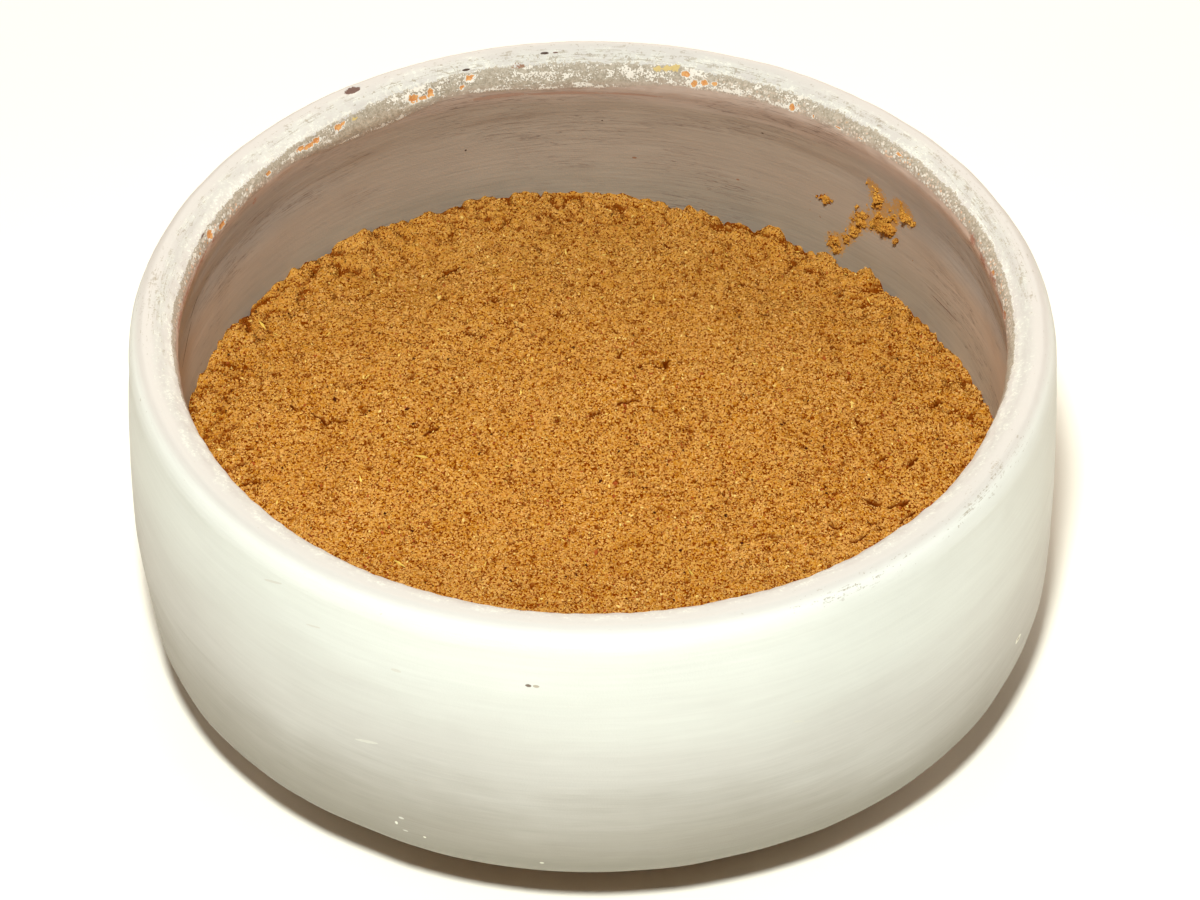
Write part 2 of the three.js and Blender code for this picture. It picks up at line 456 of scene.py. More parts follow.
# %% Worn places: degrees from +X, distance over the rim, half length along it, half width
CLAY_CHIPS = [  # down to bare terracotta
    (160.3, 3.8, 0.65, 0.55), (157.0, 4.4, 0.75, 0.35), (144.4, 3.9, 0.5, 0.28), (137.4, 3.7, 0.6, 0.3),
    (135.9, 3.95, 0.8, 0.27), (134.4, 3.8, 0.6, 0.32), (130.2, 3.65, 0.5, 0.35), (129.2, 3.5, 0.4, 0.2),
    (117.2, 3.65, 0.6, 0.5), (115.7, 3.85, 0.65, 0.22), (114.4, 3.45, 0.4, 0.5), (109.5, 3.6, 0.3, 0.3),
    (108.1, 2.75, 0.6, 0.3), (76.2, 2.5, 0.55, 0.3), (74.8, 3.3, 0.38, 0.36), (73.3, 3.1, 0.42, 0.28),
    (71.7, 3.0, 0.3, 0.2), (59.2, 3.45, 0.42, 0.4), (55.5, 3.7, 0.2, 0.24), (51.0, 3.8, 0.5, 0.12),
    (46.8, 3.75, 0.3, 0.12), (39.6, 3.1, 0.45, 0.2), (10.9, 4.0, 0.5, 0.3), (2.4, 4.5, 0.7, 0.4),
]
YELLOW_STAINS = [
    (80.5, 2.3, 0.45, 0.28), (79.1, 2.2, 0.5, 0.3), (77.8, 2.1, 0.5, 0.36), (127.1, 3.5, 0.35, 0.2),
]
DARK_CHIPS = [  # small holes, down to dark clay
    (125.2, 0.25, 1.1, 0.5), (111.2, 2.8, 0.2, 0.14), (161.8, 3.1, 0.5, 0.16),
    (33.5, 0.7, 0.14, 0.12), (31.5, 1.4, 0.12, 0.1),
]
BROWN_STAINS = [(100.7, 2.2, 0.7, 0.24)]
FLAKES = [  # where more flakes of white are left on the slope
    (98.5, 3.2, 3.0, 0.6), (94.3, 3.3, 1.3, 0.35), (91.6, 3.3, 1.2, 0.3), (96.5, 4.8, 1.3, 0.3),
    (91.5, 4.5, 1.1, 0.3), (87.5, 4.6, 2.4, 0.16), (104.5, 4.4, 2.8, 0.18), (83.0, 2.9, 4.4, 0.45),
    (119.8, 3.3, 1.2, 0.5), (119.4, 5.7, 0.7, 0.35), (124.0, 6.0, 3.8, 0.24), (73.0, 3.4, 3.4, 0.35),
    (66.0, 3.4, 4.2, 0.4), (59.3, 3.2, 1.5, 0.8), (65.3, 2.5, 0.4, 0.7), (75.0, 2.5, 1.5, 0.5),
    (166.5, 3.6, 0.8, 0.35), (140.0, 3.9, 1.5, 0.3), (134.0, 4.1, 2.8, 0.5), (117.0, 3.5, 3.0, 0.7),
    (108.4, 2.8, 1.2, 0.4),
]
SCUFFS = [  # where the white of the crown is rubbed
    (177.0, 1.0, 4.5, 0.9), (163.0, 1.2, 2.2, 0.5), (156.5, 0.9, 1.2, 0.3), (149.5, 0.9, 1.0, 0.25),
    (136.5, 1.2, 5.0, 0.5), (115.0, 1.5, 8.0, 0.6), (98.0, 1.4, 4.2, 0.7), (86.0, 1.4, 6.0, 0.8),
    (70.0, 1.2, 5.0, 0.4), (46.0, 1.2, 6.0, 0.4), (30.0, 1.0, 4.0, 0.5), (22.0, 1.2, 6.0, 0.7),
    (8.0, 0.8, 5.0, 0.6), (325.0, -1.0, 5.0, 0.6), (302.0, -1.5, 4.0, 0.6),
]
RED_SPOTS = [  # where clay shows through along the lip
    (19.4, 4.6, 0.9, 1.0), (14.8, 4.8, 1.6, 0.9), (10.6, 4.5, 1.6, 0.6), (4.0, 4.7, 4.0, 0.35),
    (-6.0, 4.9, 4.0, 0.35), (178.0, 4.5, 3.0, 0.4), (172.0, 4.7, 3.0, 0.35), (165.0, 4.9, 3.0, 0.35),
    (160.0, 4.9, 0.9, 0.4), (148.0, 6.0, 0.5, 0.6),
]
GRAINY = [(166, 26, 1.0), (24, 34, 0.9), (66, 14, 0.4)]  # degrees from +X, half spread, how much
BLISTERS = [  # bubbles in the paint
    (335.9, -30.2, 0.45, 0.45), (264.0, -32.5, 0.3, 0.3), (247.1, -30.5, 0.5, 0.6),
]
print(len(CLAY_CHIPS), "chips to bare clay,", len(FLAKES), "groups of flakes,", len(SCUFFS), "scuffs")

# %% One field for each kind of wear
TURNS = 880  # points round each ring
FAR_AWAY = -2.0  # the least that a field of worn places can be

turn = np.arange(TURNS) * 2 * np.pi / TURNS
turn_grid, over_grid = np.meshgrid(turn, over_rim)
radius_grid = np.broadcast_to(section[:, :1], turn_grid.shape)


def turn_from(turn, azimuth):
    """How far a turn lies past an azimuth given in degrees, from minus half a turn to half."""
    return (turn - np.radians(azimuth) + np.pi) % (2 * np.pi) - np.pi


def worn(places):
    """For each point of the bowl, the largest over all places of 1 minus the distance to that
    place, counted in half sizes: 1 in its middle, 0 at its edge, and no less than FAR_AWAY."""
    field = np.full(turn_grid.shape, FAR_AWAY)
    for azimuth, over, half_length, half_width in places:
        along = turn_from(turn_grid, azimuth) * radius_grid / half_length
        across = (over_grid - over) / half_width
        field = np.maximum(field, 1 - np.hypot(along, across))
    return field


clay_chip = worn(CLAY_CHIPS)
dark_chip = worn(DARK_CHIPS)
blister = worn(BLISTERS)
print("points inside a clay chip:", int((clay_chip > 0).sum()))

# %% The turned bowl, pushed out of true
LIP_SAG = 1.4
LIP_SAG_BACK = 0.4
LIP_SAG_TURN = 82
LIP_SAG_SPREAD = 27
OUT_OF_ROUND = 0.15
OUT_OF_ROUND_TURN = 120
RIM_WAVE = 0.15
RIM_WAVE_TURN = 100
PAINT_THICKNESS = 0.08
PUSHES = [  # degrees from +X, height, half spread in degrees and in height, how far outwards
    (219, 7.5, 26, 3, 0.55), (320, 7.5, 22, 3, 0.42), (194, 10.5, 9, 4.5, -0.6),
]


def hand_made(turn, radius, height):
    """The points of the walls after the push of the hands. The rim tilts by a cosine of the
    azimuth, the lip sags where a bell curve round one azimuth is high, and the plan is
    stretched by a cosine of twice the azimuth."""
    high = np.clip((height - UNDERCUT_FOOT) / LIP_UNDERCUT, 0, 1)
    inward = np.clip((CROWN_RADIUS - radius) / (CROWN_RADIUS - LIP_RADIUS), 0, 1)
    from_sag = turn_from(turn, LIP_SAG_TURN) / np.radians(LIP_SAG_SPREAD)
    sag = high * inward * np.exp(-(from_sag**2))
    height = height + RIM_WAVE * np.cos(turn - np.radians(RIM_WAVE_TURN)) * high - LIP_SAG * sag
    oval = OUT_OF_ROUND * np.cos(2 * (turn - np.radians(OUT_OF_ROUND_TURN)))
    radius = radius * (1 + oval / BELLY_RADIUS + LIP_SAG_BACK * sag / CROWN_RADIUS)
    return np.stack([radius * np.cos(turn), radius * np.sin(turn), height], axis=-1)


# %% The surface: dents, fine rings, chips and blisters on the pushed bowl
def outward(points):
    """Unit normals of a closed grid of rings: the step along the ring crossed with the step
    from ring to ring."""
    along = np.roll(points, -1, axis=1) - np.roll(points, 1, axis=1)
    up = np.gradient(points, axis=0)
    normal = np.cross(along, up)
    return normal / np.maximum(np.linalg.norm(normal, axis=2, keepdims=True), 1e-9)


true_bowl = hand_made(turn_grid, radius_grid, section[:, 1:])
normals = outward(true_bowl)
flat = true_bowl.reshape(-1, 3)
around = flat * (1, 1, 0) + over_grid.reshape(-1, 1) * (0, 0, 1)
on_rim = smooth_step(over_grid, -3.5, 0) * (1 - smooth_step(over_grid, 4.4, 6))
on_bevel = smooth_step(over_grid, 1.2, 2.6) * (1 - smooth_step(over_grid, 4.6, 5.2))
shows = smooth_step(over_grid, -58, -50) * (1 - smooth_step(over_grid, 20, 24))


def as_grid(values):
    """One number a point, back in the grid of rings."""
    return values.reshape(turn_grid.shape)


dents = as_grid(0.09 * noise(flat, 11, 1) + 0.05 * noise(flat, 5, 2))
broad_rings = 0.045 * noise(around * (0.12, 0.12, 1), 1.8, 3)
fine_rings = 0.02 * noise(around * (0.1, 0.1, 1), 0.7, 4)
rings = as_grid(broad_rings + fine_rings)
rough_rim = as_grid(0.08 * noise(flat, 1.7, 5) + 0.05 * noise(flat, 0.8, 6))
lumps = dents + rings * (1 - on_rim) + rough_rim * on_rim * (0.35 + 0.65 * on_bevel)
recess = 0.14 * smooth_step(clay_chip, -0.05, 0.35) + 0.25 * smooth_step(dark_chip, -0.05, 0.35)
bump = 0.12 * smooth_step(blister, 0, 0.6)
level = true_bowl[..., 2]
outer = over_grid < 0
body = PAINT_THICKNESS * outer
for azimuth, height, half_turn, half_height, push in PUSHES:
    apart = (np.degrees(turn_grid) - azimuth) / half_turn
    body = body + push * np.exp(-(apart**2) - ((level - height) / half_height) ** 2) * outer
moved = true_bowl + normals * ((lumps - recess + bump + body) * shows)[..., None]
moved[..., 2] = np.maximum(moved[..., 2], 0)  # nothing sinks below the foot
print(f"the walls are uneven by {lumps.min():.2f} to {lumps.max():.2f} mm")

# %% [markdown]
# ## Paint on the bowl
# The white was brushed on round the outside and over the crown, and turns greyer and then browner
# towards the foot. Taupe was brushed round the inside, up to the lip. Between them, on the slope
# of the rim, both have worn to a rough grey ground with flakes of white, and the terracotta shows
# where a flake has gone. Each of these is a coat of its own, and the distance over the rim,
# roughened by noise, says which one is on top.

# %% The colours of the paint and the clay
WHITE = srgb(230, 233, 226)
GREYED_WHITE = srgb(208, 206, 199)
BODY = srgb(166, 160, 148)
FOOT_BODY = srgb(150, 120, 96)
PINK_WHITE = srgb(202, 198, 191)
CHALK = srgb(210, 209, 200)
IVORY = srgb(231, 226, 213)
BRIGHT_CHALK = srgb(224, 223, 212)
SCRATCH = srgb(162, 152, 134)
GROUND = srgb(184, 174, 156)
DARK_GROUND = srgb(155, 145, 127)
PALE_GROUND = srgb(200, 194, 181)
LIP_BROWN = srgb(183, 164, 149)
TAUPE = srgb(168, 154, 138)
GREY_TAUPE = srgb(156, 146, 130)
SIDE_TAUPE = srgb(157, 153, 146)
BRUSH_LINE = srgb(124, 108, 96)
TERRACOTTA = srgb(218, 164, 102)
PEACH = srgb(216, 180, 150)
DEEP_CLAY = srgb(202, 134, 76)
RED_CLAY = srgb(180, 136, 118)
STAIN_YELLOW = srgb(206, 182, 118)
STAIN_BROWN = srgb(148, 112, 88)
DARK_CLAY = srgb(112, 86, 76)
DUST = srgb(196, 146, 74)
# Painted shade, drawn in creases and small pits:
CREASE_SHADE = srgb(74, 56, 46)
FAINT = srgb(216, 215, 205)
PINK_BROWN = srgb(172, 142, 124)
# Painted highlights on the bubbles in the paint:
BUBBLE_HIGHLIGHT = srgb(242, 242, 228)

# %% [markdown]
# Single marks are too small for the mesh to carry, so the finish draws them: each is an ellipse
# in degrees round the bowl and millimetres over the rim, with an edge roughened by noise. Degrees
# are counted from +X and run from -90 to 270, so that they break where nothing is drawn. The
# darkest lines and dots are painted shade in creases and small pits, and the brightest dots are
# painted highlights on bubbles in the paint.

# %% Single marks: degrees, over the rim, half length, half width, slant in mm a degree, colour
MM_PER_DEGREE = CAVITY_RADIUS * np.pi / 180
MARKS = [
    (170.4, 13.35, 2.3, 0.13, 0.49, CREASE_SHADE), (166.0, 10.6, 1.6, 0.1, 0.3, CREASE_SHADE),
    (262.7, -7.5, 0.28, 0.2, 0, BRUSH_LINE), (263.6, -7.5, 0.3, 0.18, 0, GROUND),
    (96.7, 1.0, 0.5, 0.16, 0, CREASE_SHADE), (95.2, 1.0, 0.3, 0.1, 0, DARK_CLAY),
    (108.4, 1.85, 0.5, 0.14, 0, CREASE_SHADE), (109.0, 13.6, 0.14, 0.14, 0, CREASE_SHADE),
    (88.5, 11.1, 0.1, 0.1, 0, CREASE_SHADE), (64.0, 9.2, 0.16, 0.12, 0, CREASE_SHADE),
    (83.7, 16.4, 0.3, 0.14, 0, STAIN_BROWN), (67.8, 17.2, 0.2, 0.12, 0, STAIN_BROWN),
    (27.6, 19.35, 3.0, 0.07, 0.02, DARK_CLAY), (104.0, 5.6, 3.6, 0.36, 0, PINK_BROWN),
    (94.0, 5.8, 5.0, 0.3, 0, PINK_BROWN), (84.0, 5.7, 3.6, 0.24, 0, PINK_BROWN),
    (243.0, -20.0, 1.2, 0.2, 0.2, FAINT), (-66.0, -16.0, 0.6, 0.15, -0.3, FAINT),
    (230.0, -4.5, 1.2, 0.16, 0.3, FAINT), (236.0, -7.5, 0.8, 0.12, 0.2, FAINT),
    (247.0, -9.0, 0.5, 0.2, 0, FAINT), (-26.4, -27.8, 0.7, 0.4, 0, BUBBLE_HIGHLIGHT),
    (-26.4, -27.8, 0.3, 0.16, 0, GROUND), (247.2, -29.4, 0.3, 0.15, 0, FAINT),
    (246.5, -30.4, 0.16, 0.24, 0, BUBBLE_HIGHLIGHT), (247.6, -31.2, 0.28, 0.12, 0, FAINT),
    (250.0, -31.4, 0.15, 0.15, 0, BUBBLE_HIGHLIGHT), (264.0, -32.5, 0.22, 0.22, 0, BUBBLE_HIGHLIGHT),
]
print(len(MARKS), "single marks")

# %% [markdown]
# Brush lines run round the bowl. So the noise of the streaks is read at a place whose third number
# is the distance over the rim, and it is stretched many times along the other two. All the coats
# read the same few noises, so that a streak in one goes on in the next.


# %% What all the coats read
class Paint(Finish):
    """The bowl's finish in the making, with the places and noises that its coats share."""

    def __init__(self):
        super().__init__("brushed_paint_on_clay", Specular_IOR_Level=0.3)
        self.over = self.field("over_rim")
        self.past_white = self.field("past_white")
        self.past_lip = self.field("past_lip")
        self.east, self.north, self.level = (self.axis(name) for name in "XYZ")
        sockets = {0: self.east, 1: self.north, 2: self.over}
        around = self.node("ShaderNodeCombineXYZ", {}, sockets)
        self.streaks = self.noise(1.3, around, detail=4, stretch=(14, 14, 1))
        self.fine_streaks = self.noise(0.4, around, detail=3, stretch=(22, 22, 1))
        self.hairs = self.noise(0.16, around, detail=1, stretch=(26, 26, 1))
        self.clouds = self.noise(9, around, detail=3, stretch=(2.5, 2.5, 1))
        self.patches = self.noise(1.1, around, detail=4, stretch=(2.6, 2.6, 1))
        self.chips = self.noise(0.55, around, detail=4, stretch=(1.9, 1.9, 1))
        self.specks = self.noise(0.42, detail=2)
        self.grit = self.noise(0.2, detail=1)
        self.speckle = self.specks * 0.5 + self.grit * 0.5


# %% The outer wall
def outer_coat(paint):
    """White that gives way towards the foot, first to grey and then to brown. The height where it gives
    way wanders with the streaks. It is greater in front, which is painted shade, and less at the
    right, where the upper wall is also lighter: painted light."""
    level, streaks, clouds = paint.level, paint.streaks, paint.clouds
    darkening_level = level + (streaks - 0.5) * 4 + (clouds - 0.5) * 8 + 1
    # Painted shade and light: the white gives way higher up at the front and lower down at the right.
    darkening_level = darkening_level - paint.step(paint.north, 10, -45) * 5 + paint.step(paint.east, 5, 45) * 4
    outside = paint.lay(FOOT_BODY, BODY, level + (streaks - 0.5) * 3, 3, 7)
    outside = paint.lay(outside, GREYED_WHITE, darkening_level, 7, 20)
    outside = paint.lay(outside, WHITE, darkening_level, 18, 33)
    outside = paint.shade(outside, 0.97 + (paint.fine_streaks - 0.5) * 0.1 + (clouds - 0.5) * 0.06)
    hair_lines = (paint.hairs - 0.5) * paint.step(level, 30, 16) * 0.16
    # Painted light: the upper wall at the right is lighter.
    right_side = paint.step(paint.east, 25, 48) * paint.step(level, 14, 26) * 0.08
    return paint.shade(outside, 1 + hair_lines + right_side)


# %% The crown
def crown_coat(paint):
    """Smooth paint on the outer half of the crown, and chalky, blotched paint on the inner half,
    with scuffs and with scratches that follow the fine streaks."""
    over, patches, specks, grit = paint.over, paint.patches, paint.specks, paint.grit
    front = paint.step(paint.north, -5, -38)
    smooth = paint.blend(front * 0.6, PINK_WHITE, GREYED_WHITE)
    # Away from the back the outer shoulder is whiter: at the sides this is painted light, at the front
    # the white of the wall runs on.
    smooth = paint.blend(paint.step(paint.north, 20, -8) * paint.step(over, -0.5, -1.7), smooth, WHITE)
    # Painted shade: the smooth part is darker at the front, most towards the top of the crown.
    smooth = paint.shade(smooth, 1 - front * (0.04 + paint.step(over, -1.5, 0.3) * 0.1))
    crown = paint.lay(PINK_WHITE, CHALK, patches * 0.7 + specks * 0.3, 0.36, 0.62)
    thick = patches * 0.3 + specks * 0.4 + grit * 0.3 + paint.step(paint.past_white, -0.8, 0) * 0.07
    crown = paint.lay(crown, BRIGHT_CHALK, thick, 0.55, 0.59)
    # Painted shade: the inner half is darker at the front and sides than at the back.
    crown = paint.shade(crown, 1 - paint.step(paint.north, 38, 5) * 0.12)
    # Painted light: the inner half is lighter at the left and right, next to the slope.
    sides = paint.step(abs(paint.east), 25, 42) * paint.step(over, 1.4, 2.6)
    crown = paint.shade(crown, 1 + sides * 0.2)
    crown = paint.lay(smooth, crown, over + (patches - 0.5) * 1.6, 0.2, 1.1)
    scuffs = paint.chips * 0.4 + specks * 0.3 + grit * 0.3 + paint.field("scuffed") * 0.06 - front * 0.03
    crown = paint.lay(crown, SCRATCH, scuffs, 0.575, 0.615, 0.75)
    scratches = paint.step(abs(paint.fine_streaks - 0.5), 0.05, 0) * paint.step(scuffs, 0.47, 0.53)
    return paint.blend(scratches * 0.7, crown, SCRATCH)


# %% The worn slope
BARE_GRAINS = [  # colour, and between which numbers of its own a grain takes it on
    (PALE_GROUND, 0.42, 0.46), (PEACH, 0.62, 0.66), (BRIGHT_CHALK, 0.76, 0.8), (TERRACOTTA, 0.02, 0),
]


def slope_coat(paint):
    """Grey ground, browner near the lip, with pale, peach and terracotta grains lying bare, and
    flakes of white left on it. Also returns the noise that places the flakes, and their mask."""
    over, past_white, past_lip = paint.over, paint.past_white, paint.past_lip
    ground = paint.lay(DARK_GROUND, GROUND, paint.speckle, 0.36, 0.62)
    ground = paint.lay(ground, LIP_BROWN, past_lip, -1.0, -0.1, 0.5)
    slope = paint.shade(ground, 1 + paint.step(over, 3.6, 4.6) * paint.step(past_lip, -0.5, -1.2) * 0.2)
    grain, tone = paint.cells(0.28, paint.place)
    bare = paint.step(past_white + (paint.patches - 0.5), 0.1, 0.8) * paint.field("grainy")
    grainy = bare * paint.step(grain, 0.62, 0.5)
    for colour, low, high in BARE_GRAINS:
        slope = paint.blend(paint.step(tone, low, high) * grainy, slope, colour)
    lift = paint.step(past_white, 0.7, 0) * 0.04 + paint.step(abs(past_lip + 0.25), 0.25, 0) * 0.045
    flakes = paint.chips * 0.55 + paint.grit * 0.45 + lift + paint.field("flakes") * 0.07
    slope = paint.lay(slope, PALE_GROUND, flakes, 0.49, 0.54, 0.45)
    # Painted shade: a dark edge round each flake.
    slope = paint.lay(slope, DARK_GROUND, abs(flakes - 0.53), 0.02, 0.005, 0.3)
    flake = paint.step(flakes, 0.535, 0.555)
    return paint.blend(flake, slope, IVORY), flakes, flake


# %% The inner wall
def inner_coat(paint):
    """Taupe, greyer low down and at the sides, browner up by the lip, with the brush's lines."""
    over, east, streaks, fine_streaks = paint.over, paint.east, paint.streaks, paint.fine_streaks
    inner = paint.lay(GREY_TAUPE, TAUPE, paint.level + (streaks - 0.5) * 4, 21, 28)
    inner = paint.lay(inner, LIP_BROWN, over + (streaks - 0.5) * 5, 8.5, 5)
    side = paint.step(abs(east), 24, 44) * paint.step(over, 15, 11) * paint.step(over, 5, 7)
    inner = paint.blend(side, inner, SIDE_TAUPE)
    # Painted light: the wall is lighter towards the left and right, and more so on the right, where the
    # lamp only grazes it.
    painted_side_light = paint.step(abs(east), 15, 44) * 0.16 + paint.step(abs(east), 37, 44) * 0.14
    painted_side_light = painted_side_light + paint.step(east, 36, 44) * 0.16
    inner = paint.shade(inner, 0.75 + streaks * 0.08 + fine_streaks * 0.18 + paint.hairs * 0.24 + painted_side_light)
    broad_lines = paint.step(abs(streaks - 0.47), 0.012, 0) * 0.6
    lines = paint.step(abs(fine_streaks - 0.5), 0.03, 0) * 0.5 + broad_lines
    inner = paint.blend(lines * paint.step(paint.clouds, 0.44, 0.56), inner, BRUSH_LINE)
    return paint.lay(inner, GROUND, paint.speckle, 0.69, 0.72, 0.7)


# %% Chips, stains, marks and dust on top
STAINS = {  # field of the mesh: colour, how ragged its edge is, how soft
    "red": (RED_CLAY, 2.4, 0.8), "yellow": (STAIN_YELLOW, 2.2, 0.2), "brown": (STAIN_BROWN, 2.8, 0.2),
    "dark_chip": (DARK_CLAY, 0.6, 0.15),
}


def worn_coat(paint, colour):
    """Terracotta in the chips, each with a pale broken edge, then the stains, the single marks
    and the powder that clings round the crumbs on the inner wall."""
    specks, grit = paint.specks - 0.5, paint.grit - 0.5
    chip = paint.field("clay_chip") + specks * 1.5 + grit * 0.8
    colour = paint.lay(colour, BRIGHT_CHALK, chip, -0.34, -0.26, 0.9)
    clay = paint.lay(DEEP_CLAY, TERRACOTTA, paint.specks, 0.35, 0.65)
    colour = paint.lay(colour, clay, chip, -0.04, 0.08)
    for field, (stain, ragged, soft) in STAINS.items():
        spot = paint.field(field) + specks * ragged + grit * (ragged * 0.5)
        colour = paint.lay(colour, stain, spot, -0.05, soft)
    turn = paint.field("turn")
    for azimuth, centre, half_length, half_width, slant, stain in MARKS:
        along = (turn - azimuth) * (MM_PER_DEGREE / half_length)
        across = (paint.over - centre - (turn - azimuth) * slant) * (1 / half_width)
        spot = 1 - along * along - across * across + specks * 1.2
        colour = paint.lay(colour, stain, spot, -0.1, 0.3)
    dust = paint.field("dust") + specks * 0.9 + grit * 0.9
    return paint.lay(colour, DUST, dust, 0.42, 0.62, 0.85)


# %% All the coats together
PAINT_BUMP = 0.7


def paint_finish():
    """The coats from the outside to the inside, each ending in a ragged edge, and a bump from the
    same noises."""
    paint = Paint()
    over, past_lip, clouds = paint.over, paint.past_lip, paint.clouds
    crown_edge = paint.step(over + (clouds - 0.5) * 3, -3.6, -1.8)
    white = paint.blend(crown_edge, outer_coat(paint), crown_coat(paint))
    slope, flakes, flake = slope_coat(paint)
    rag = (paint.patches - 0.5) * 0.8 + (paint.specks - 0.5) + (paint.grit - 0.5) * 0.6
    edge = paint.past_white + rag
    colour = paint.lay(white, slope, edge, -0.06, 0.06)
    rim_shadow = paint.step(abs(edge - 0.1), 0.1, 0.02) * paint.step(clouds, 0.42, 0.6)
    colour = paint.blend(rim_shadow * 0.6, colour, DARK_GROUND)
    inside_lip = paint.step(past_lip + rag * 0.3, -0.1, 0.15)
    colour = paint.blend(inside_lip, colour, inner_coat(paint))
    dots = paint.step(flakes + paint.step(past_lip, 0.6, 0) * 0.06, 0.66, 0.69) * paint.step(over, 9, 5)
    colour = paint.blend(dots * paint.step(past_lip, -0.1, 0.15), colour, BRIGHT_CHALK)
    colour = worn_coat(paint, colour)
    rough = paint.step(over, -0.5, 1) * paint.step(past_lip, 0.3, -0.3)
    height = paint.streaks * 0.05 + paint.fine_streaks * 0.03 + paint.hairs * 0.012 + paint.grit * 0.02
    height = height + (paint.patches * 0.05 + paint.specks * 0.04 + flake * 0.03) * rough
    return paint.apply(colour, 0.5 + paint.patches * 0.25, height, PAINT_BUMP)


# %% Where the white ends on the slope, where the taupe begins, and where grains lie bare
WHITE_ENDS = [  # degrees from +X, distance over the rim
    (0, 2.8), (15, 2.5), (30, 2.45), (45, 2.3), (60, 2.1), (73, 2.05), (79, 1.8), (84, 2.0),
    (100, 2.15), (108, 2.1), (113, 2.35), (120, 2.55), (130, 3.0), (142, 3.05), (155, 3.0),
    (168, 3.05), (181, 3.0), (200, 3.6), (215, 5.2), (325, 5.2), (345, 3.2), (360, 2.8),
]
LIP_ENDS = [
    (0, 4.8), (10, 4.4), (22, 4.15), (37, 4.05), (50, 4.15), (56, 3.95), (70, 3.75), (78, 3.75),
    (84, 4.3), (90, 4.7), (98, 5.0), (104, 4.8), (109, 4.5), (113, 4.8), (117, 5.6), (121, 6.2),
    (129, 6.2), (134, 5.6), (140, 4.7), (154, 4.8), (163, 4.5), (170, 4.2), (181, 3.9),
    (200, 4.2), (215, 5.2), (325, 5.2), (345, 4.9), (360, 4.8),
]


def past(ends):
    """How far each point lies over the rim beyond a line that is given at a few azimuths."""
    azimuth, over = np.array(ends).T
    return over_grid - np.interp(np.degrees(turn_grid), azimuth, over)


past_white, past_lip = past(WHITE_ENDS), past(LIP_ENDS)
grainy = np.zeros(turn_grid.shape)
for azimuth, half_spread, amount in GRAINY:
    apart = np.degrees(np.abs(turn_from(turn_grid, azimuth)))
    grainy = np.maximum(grainy, amount * (1 - smooth_step(apart, half_spread * 0.5, half_spread)))
print("points on the worn slope:", int(((past_white > 0) & (past_lip < 0)).sum()))

# %% Crumbs of spice stuck to the wall: degrees from +X, height, half size, thickness
CLINGING = [
    (44.8, 33.3, 0.35, 0.3), (44.1, 32.3, 0.7, 0.6), (43.3, 31.5, 0.75, 0.7), (43.2, 30.5, 0.55, 0.5),
    (40.9, 30.9, 0.4, 0.4), (39.0, 32.5, 0.6, 0.5), (38.2, 31.9, 0.75, 0.6), (37.5, 31.5, 0.8, 0.8),
    (40.2, 29.9, 0.45, 0.4), (41.4, 28.3, 0.95, 1.0), (42.7, 28.0, 0.8, 0.7), (44.2, 27.5, 0.65, 0.5),
    (46.1, 27.7, 0.6, 0.5), (46.6, 26.7, 0.8, 0.6), (47.7, 24.9, 0.7, 0.5), (49.1, 23.1, 0.65, 0.5),
    (51.1, 22.1, 0.7, 0.6), (50.7, 20.9, 0.6, 0.5), (51.8, 21.6, 0.5, 0.5), (53.2, 27.3, 0.55, 0.5),
    (45.7, 29.6, 0.25, 0.3), (48.1, 26.3, 0.3, 0.3),
]


DUST_REACH = 1.9  # in half sizes of the crumb
DUST_MOST = 0.66


def dust_near(azimuth, height):
    """How thickly spice powder lies at each point of the wall: for each crumb a bell curve that
    is DUST_REACH times as wide as the crumb, summed and kept below 1."""
    total = 0 * height
    for crumb_azimuth, crumb_height, half, _ in CLINGING:
        x = np.radians(azimuth - crumb_azimuth) * CAVITY_RADIUS
        total = total + np.exp(-(x**2 + (height - crumb_height) ** 2) / (DUST_REACH * half) ** 2)
    return np.minimum(total, 1)


dust = dust_near(np.degrees(turn_grid), true_bowl[..., 2]) * (past_lip > 0) * DUST_MOST
print(len(CLINGING), "crumbs, dust on", int((dust > 0.3).sum()), "points of the wall")

# %% The bowl itself
point_count = moved.shape[0] * TURNS
index = np.arange(point_count).reshape(moved.shape[:2])
foot_centre = point_count
floor_centre = point_count + 1
bowl_points = np.concatenate([moved.reshape(-1, 3), [[0, 0, 0], [0, 0, FLOOR_HEIGHT]]])
bowl_faces = np.concatenate([
    net(index, closed=True), fan(index[0, ::-1], foot_centre), fan(index[-1], floor_centre),
])


def bowl_field(grid):
    """A field of the bowl as one number a point, with the two poles at the end."""
    return np.append(grid.ravel(), [FAR_AWAY, FAR_AWAY])


FIELDS = {
    "clay_chip": clay_chip, "dark_chip": dark_chip, "yellow": worn(YELLOW_STAINS),
    "brown": worn(BROWN_STAINS), "red": worn(RED_SPOTS), "flakes": worn(FLAKES),
    "scuffed": worn(SCUFFS), "past_white": past_white, "past_lip": past_lip, "grainy": grainy,
    "dust": dust, "turn": np.degrees(turn_grid) - 360 * (turn_grid > np.radians(270)),
}
bowl_piece = make_piece(
    "painted_bowl", bowl_points, bowl_faces, paint_finish(), "painted_clay",
    over_rim=np.append(over_grid.ravel(), [over_rim[0], over_rim[-1]]),
    **{name: bowl_field(field) for name, field in FIELDS.items()},
)
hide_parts("bowl")

# %% [markdown]
# ## The heap of spice
# Ground spice lies in soft clods that break along thin cracks. The broad shape repeats the exact
# model's formula, so that the heap stays the size it was built. Finer relief goes on top: round
# crumbs with creases between them, a few longer cracks, and grit. All of it is a height above the
# plan, so one function of x and y serves the surface and every grain that lies on it.

